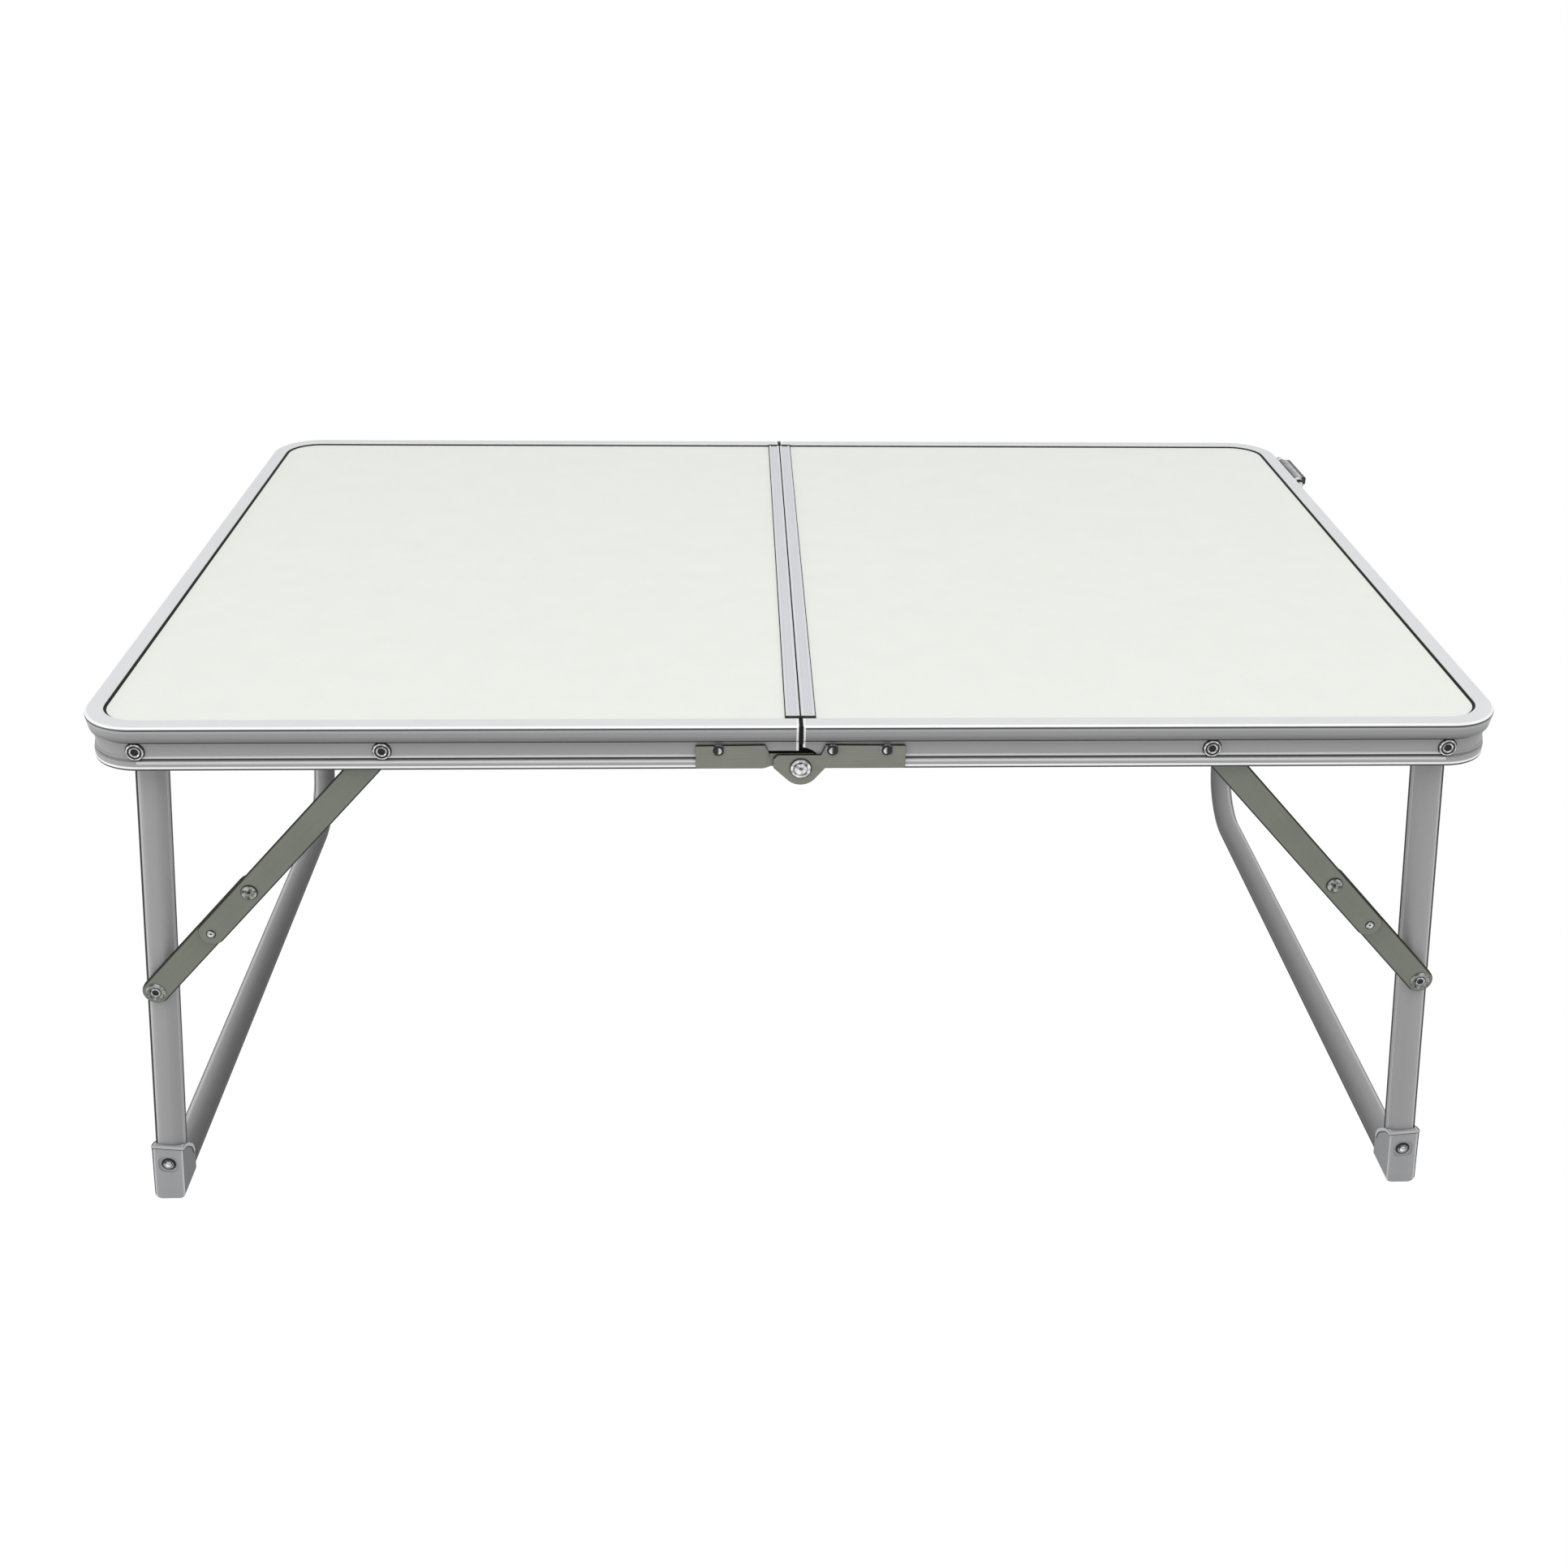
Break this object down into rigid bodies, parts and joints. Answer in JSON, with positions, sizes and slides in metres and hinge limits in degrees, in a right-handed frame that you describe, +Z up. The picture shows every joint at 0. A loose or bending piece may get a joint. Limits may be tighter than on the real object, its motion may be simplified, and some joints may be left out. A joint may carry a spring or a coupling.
{
  "type": "folding camping table",
  "caption": "Low camping table with a two-part framed top that folds on centre hinges, splayed tube legs with folding strap braces and a case latch.",
  "frame": {"origin": "on the floor under the middle of the table", "axes": "+X to the right along the long side, +Y to the rear, +Z up"},
  "size_m": [0.6132, 0.4, 0.255],
  "materials": {
    "aluminium": "satin",
    "rail": "satin",
    "laminate": "satin laminate",
    "steel": "satin",
    "strap": "satin",
    "tube": "satin silver",
    "foot_plastic": "matt",
    "rivet": "bright",
    "chrome": "bright"
  },
  "bodies": {
    "left_half": {"left_rim": "aluminium", "left_center_rail": "rail", "left_panel": "laminate", "left_hinge_plate_front": "steel", "hinge_pin_front": "rivet", "left_plate_rivet_1_front": "rivet", "left_leg_pivot_front": "rivet", "left_brace_pivot_front": "rivet", "left_hinge_plate_rear": "steel", "hinge_pin_rear": "rivet", "left_plate_rivet_1_rear": "rivet", "left_leg_pivot_rear": "rivet", "left_brace_pivot_rear": "rivet", "latch_catch": "chrome"},
    "left_legs": {"left_front_leg": "tube", "left_bar_and_rear_leg": "tube", "left_foot": "foot_plastic", "left_foot_screw": "rivet", "brace_foot_rivet_left_front": "rivet", "brace_foot_rivet_left_rear": "rivet"},
    "right_half": {"right_rim": "aluminium", "right_center_rail": "rail", "right_panel": "laminate", "right_hinge_plate_front": "steel", "right_plate_rivet_1_front": "rivet", "right_plate_rivet_2_front": "rivet", "right_leg_pivot_front": "rivet", "right_brace_pivot_front": "rivet", "right_hinge_plate_rear": "steel", "right_plate_rivet_1_rear": "rivet", "right_plate_rivet_2_rear": "rivet", "right_leg_pivot_rear": "rivet", "right_brace_pivot_rear": "rivet", "latch_base": "chrome", "latch_pin": "rivet"},
    "right_legs": {"right_front_leg": "tube", "right_bar_and_rear_leg": "tube", "right_foot": "foot_plastic", "right_foot_screw": "rivet", "brace_foot_rivet_right_front": "rivet", "brace_foot_rivet_right_rear": "rivet"},
    "upper_link_left_front": {"upper_link_left_front": "strap", "knuckle_rivet_left_front": "rivet"},
    "lower_link_left_front": {"lower_link_left_front": "strap"},
    "upper_link_left_rear": {"upper_link_left_rear": "strap", "knuckle_rivet_left_rear": "rivet"},
    "lower_link_left_rear": {"lower_link_left_rear": "strap"},
    "upper_link_right_front": {"upper_link_right_front": "strap", "knuckle_rivet_right_front": "rivet"},
    "lower_link_right_front": {"lower_link_right_front": "strap"},
    "upper_link_right_rear": {"upper_link_right_rear": "strap", "knuckle_rivet_right_rear": "rivet"},
    "lower_link_right_rear": {"lower_link_right_rear": "strap"},
    "latch_lever": {"latch_lever": "chrome"}
  },
  "joints": [
    {"name": "top_fold", "type": "hinge", "parent": "left_half", "child": "right_half", "pos_m": [0, 0, 0.235], "axis": [0, 1, 0], "range_deg": [0, 95]},
    {"name": "left_leg_fold", "type": "hinge", "parent": "left_half", "child": "left_legs", "pos_m": [-0.275, 0, 0.243], "axis": [0, -1, 0], "range_deg": [0, 95.5]},
    {"name": "upper_link_left_front_turn", "type": "hinge", "parent": "left_half", "child": "upper_link_left_front", "pos_m": [-0.174, -0.193, 0.243], "axis": [0, -1, 0], "range_deg": [0, 132.5]},
    {"name": "lower_link_left_front_turn", "type": "hinge", "parent": "left_legs", "child": "lower_link_left_front", "pos_m": [-0.28689, -0.193, 0.11957], "axis": [0, -1, 0], "range_deg": [-143.2, 0]},
    {"name": "upper_link_left_rear_turn", "type": "hinge", "parent": "left_half", "child": "upper_link_left_rear", "pos_m": [-0.174, 0.193, 0.243], "axis": [0, -1, 0], "range_deg": [0, 132.5]},
    {"name": "lower_link_left_rear_turn", "type": "hinge", "parent": "left_legs", "child": "lower_link_left_rear", "pos_m": [-0.28689, 0.193, 0.11957], "axis": [0, -1, 0], "range_deg": [-143.2, 0]},
    {"name": "right_leg_fold", "type": "hinge", "parent": "right_half", "child": "right_legs", "pos_m": [0.275, 0, 0.243], "axis": [0, 1, 0], "range_deg": [0, 95.5]},
    {"name": "upper_link_right_front_turn", "type": "hinge", "parent": "right_half", "child": "upper_link_right_front", "pos_m": [0.174, -0.193, 0.243], "axis": [0, 1, 0], "range_deg": [0, 132.5]},
    {"name": "lower_link_right_front_turn", "type": "hinge", "parent": "right_legs", "child": "lower_link_right_front", "pos_m": [0.28689, -0.193, 0.11957], "axis": [0, 1, 0], "range_deg": [-143.2, 0]},
    {"name": "upper_link_right_rear_turn", "type": "hinge", "parent": "right_half", "child": "upper_link_right_rear", "pos_m": [0.174, 0.193, 0.243], "axis": [0, 1, 0], "range_deg": [0, 132.5]},
    {"name": "lower_link_right_rear_turn", "type": "hinge", "parent": "right_legs", "child": "lower_link_right_rear", "pos_m": [0.28689, 0.193, 0.11957], "axis": [0, 1, 0], "range_deg": [-143.2, 0]},
    {"name": "latch_turn", "type": "hinge", "parent": "right_half", "child": "latch_lever", "pos_m": [0.303, 0.156, 0.2507], "axis": [0, 1, 0], "range_deg": [0, 80]}
  ],
  "couplings": [
    {"joint": "upper_link_left_front_turn", "follows": "left_leg_fold", "ratio": 1.3869},
    {"joint": "lower_link_left_front_turn", "follows": "left_leg_fold", "ratio": -1.498},
    {"joint": "upper_link_left_rear_turn", "follows": "left_leg_fold", "ratio": 1.3869},
    {"joint": "lower_link_left_rear_turn", "follows": "left_leg_fold", "ratio": -1.498},
    {"joint": "upper_link_right_front_turn", "follows": "right_leg_fold", "ratio": 1.3869},
    {"joint": "lower_link_right_front_turn", "follows": "right_leg_fold", "ratio": -1.498},
    {"joint": "upper_link_right_rear_turn", "follows": "right_leg_fold", "ratio": 1.3869},
    {"joint": "lower_link_right_rear_turn", "follows": "right_leg_fold", "ratio": -1.498}
  ]
}
